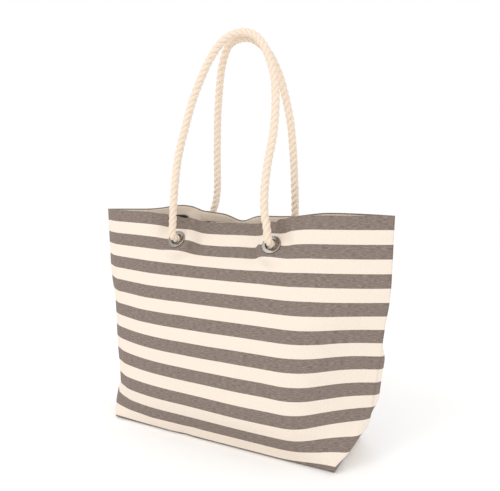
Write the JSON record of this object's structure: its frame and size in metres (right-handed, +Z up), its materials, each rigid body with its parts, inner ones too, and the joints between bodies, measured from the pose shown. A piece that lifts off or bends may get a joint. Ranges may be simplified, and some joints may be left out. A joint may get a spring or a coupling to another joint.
{
  "type": "beach bag",
  "caption": "Open-topped striped canvas beach tote with a boxed base, a lined inside and rope handles held in metal eyelets.",
  "frame": {"origin": "middle of the base, on the ground", "axes": "+Z up, X along the width of the bag with +X to the right seen from the front, -Y towards the front"},
  "size_m": [0.5172, 0.1624, 0.641],
  "materials": {
    "striped_canvas": "heavy woven cotton canvas in even cream and taupe stripes",
    "facing_cotton": "plain woven cream cotton tape",
    "lining_cloth": "thin plain dark lining cloth",
    "eyelet_metal": "polished nickel plate",
    "washer_metal": "satin nickel plate",
    "cotton_rope": "three-strand twisted cotton rope"
  },
  "bodies": {
    "bag": {"front_panel": "striped_canvas", "back_panel": "striped_canvas", "front_facing": "facing_cotton", "back_facing": "facing_cotton", "front_lining": "lining_cloth", "back_lining": "lining_cloth", "front_left_eyelet": "eyelet_metal", "front_right_eyelet": "eyelet_metal", "back_left_eyelet": "eyelet_metal", "back_right_eyelet": "eyelet_metal", "front_left_washer": "washer_metal", "front_right_washer": "washer_metal", "back_left_washer": "washer_metal", "back_right_washer": "washer_metal", "front_left_rope_end": "cotton_rope", "front_right_rope_end": "cotton_rope", "back_left_rope_end": "cotton_rope", "back_right_rope_end": "cotton_rope"},
    "front_loop": {"front_handle": "cotton_rope"},
    "back_loop": {"back_handle": "cotton_rope"}
  },
  "joints": [
    {"name": "front_handle_swing", "type": "hinge", "parent": "bag", "child": "front_loop", "pos_m": [0, -0.04472, 0.32589], "axis": [1, 0, 0], "range_deg": [0, 160]},
    {"name": "back_handle_swing", "type": "hinge", "parent": "bag", "child": "back_loop", "pos_m": [0, 0.05565, 0.32344], "axis": [-1, 0, 0], "range_deg": [0, 160]}
  ]
}
